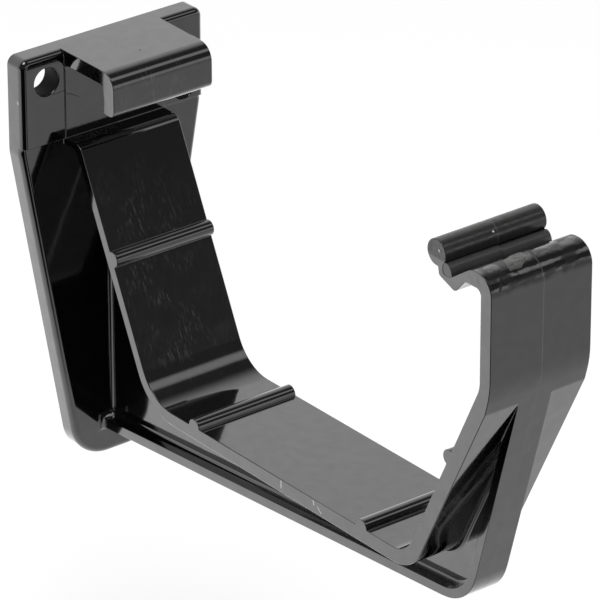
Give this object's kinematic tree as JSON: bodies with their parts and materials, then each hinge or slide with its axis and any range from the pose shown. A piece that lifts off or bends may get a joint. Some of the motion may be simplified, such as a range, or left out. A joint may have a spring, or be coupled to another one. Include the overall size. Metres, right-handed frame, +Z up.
{
  "type": "gutter bracket",
  "caption": "Black moulded fascia bracket that hooks and clips round a square-line rain gutter, with a screw plate, a ribbed cradle, a web and an outer flange.",
  "frame": {"origin": "on the back face of the fascia plate, in the middle of its width and level with the upper screw hole", "axes": "+X along the gutter, +Y out of the back face towards the fascia board, so the gutter lies towards -Y, and +Z up"},
  "size_m": [0.0404, 0.1221, 0.0855],
  "materials": {
    "black_plastic": "glossy black moulded PVC-U"
  },
  "bodies": {
    "root": {"gutter_bracket": "black_plastic"}
  },
  "joints": []
}
